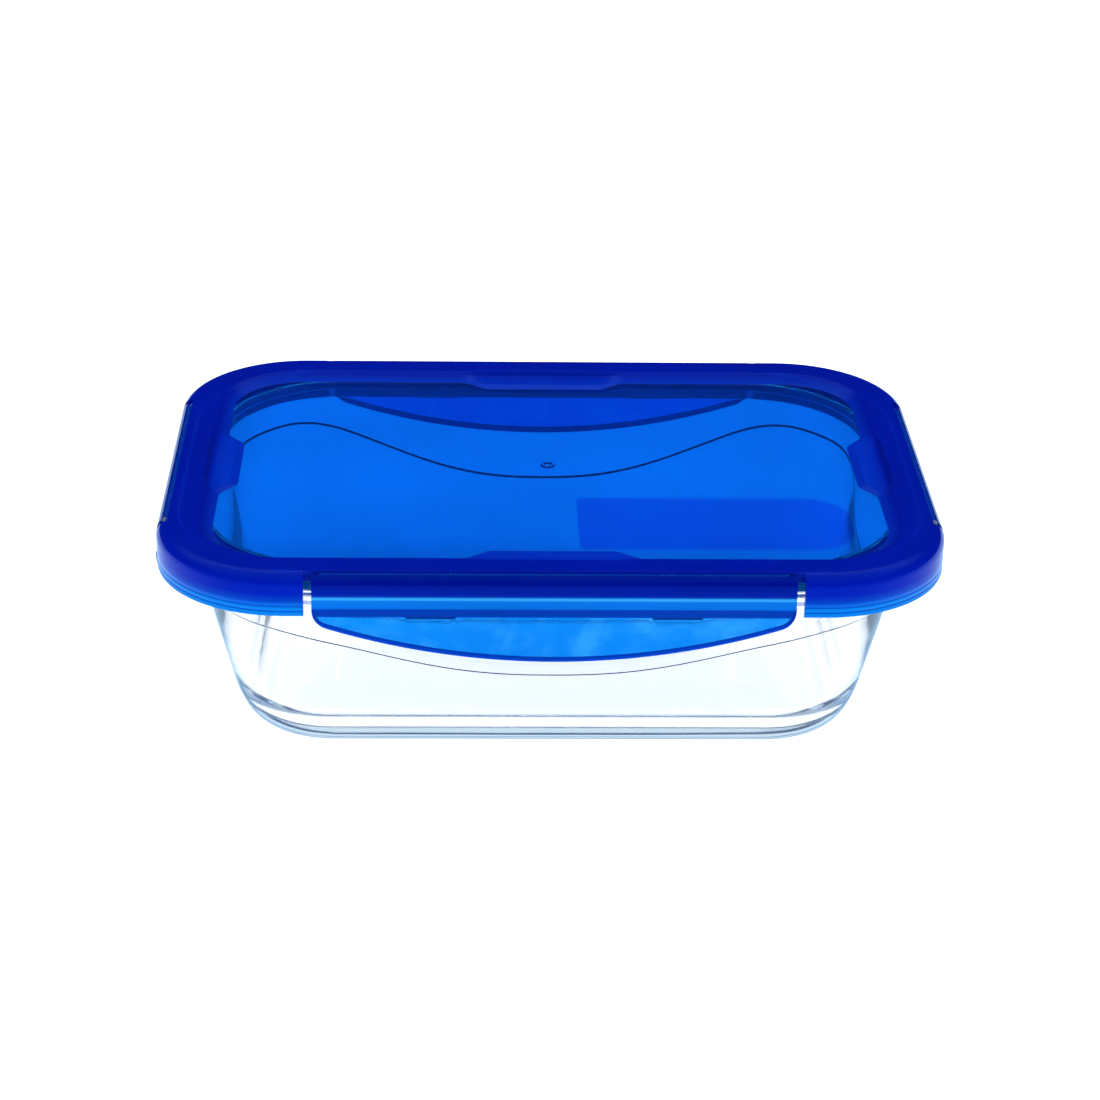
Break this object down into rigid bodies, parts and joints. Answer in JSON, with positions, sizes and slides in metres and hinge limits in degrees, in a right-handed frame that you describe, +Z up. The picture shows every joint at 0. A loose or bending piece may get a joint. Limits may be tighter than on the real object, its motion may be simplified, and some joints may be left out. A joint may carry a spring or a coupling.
{
  "type": "glass storage container",
  "caption": "Rectangular clear glass food container with a translucent plastic snap lid, a silicone gasket and hinged locking flaps on every side.",
  "frame": {"origin": "centre of the base, on the surface it stands on", "axes": "+X along the long side, +Y from the front to the back, +Z up"},
  "size_m": [0.2412, 0.1732, 0.07],
  "materials": {
    "clear_glass": "polished clear",
    "lid_plastic": "translucent satin gloss",
    "flap_plastic": "translucent satin gloss",
    "seal_silicone": "soft translucent matte"
  },
  "bodies": {
    "dish": {"glass_dish": "clear_glass"},
    "lid": {"lid_cover": "lid_plastic", "silicone_gasket": "seal_silicone", "front_hinge": "lid_plastic", "back_hinge": "lid_plastic", "left_hinge": "lid_plastic", "right_hinge": "lid_plastic"},
    "front_flap": {"front_flap": "flap_plastic"},
    "back_flap": {"back_flap": "flap_plastic"},
    "left_flap": {"left_flap": "flap_plastic"},
    "right_flap": {"right_flap": "flap_plastic"}
  },
  "joints": [
    {"name": "lid_lift", "type": "slide", "parent": "dish", "child": "lid", "axis": [0, 0, 1], "range_m": [0, 0.12]},
    {"name": "front_flap_swing", "type": "hinge", "parent": "lid", "child": "front_flap", "pos_m": [0, -0.0833, 0.0692], "axis": [-1, 0, 0], "range_deg": [-6, 120]},
    {"name": "back_flap_swing", "type": "hinge", "parent": "lid", "child": "back_flap", "pos_m": [0, 0.0833, 0.0692], "axis": [1, 0, 0], "range_deg": [-6, 120]},
    {"name": "left_flap_swing", "type": "hinge", "parent": "lid", "child": "left_flap", "pos_m": [-0.1173, 0, 0.0692], "axis": [0, 1, 0], "range_deg": [-6, 120]},
    {"name": "right_flap_swing", "type": "hinge", "parent": "lid", "child": "right_flap", "pos_m": [0.1173, 0, 0.0692], "axis": [0, -1, 0], "range_deg": [-6, 120]}
  ]
}
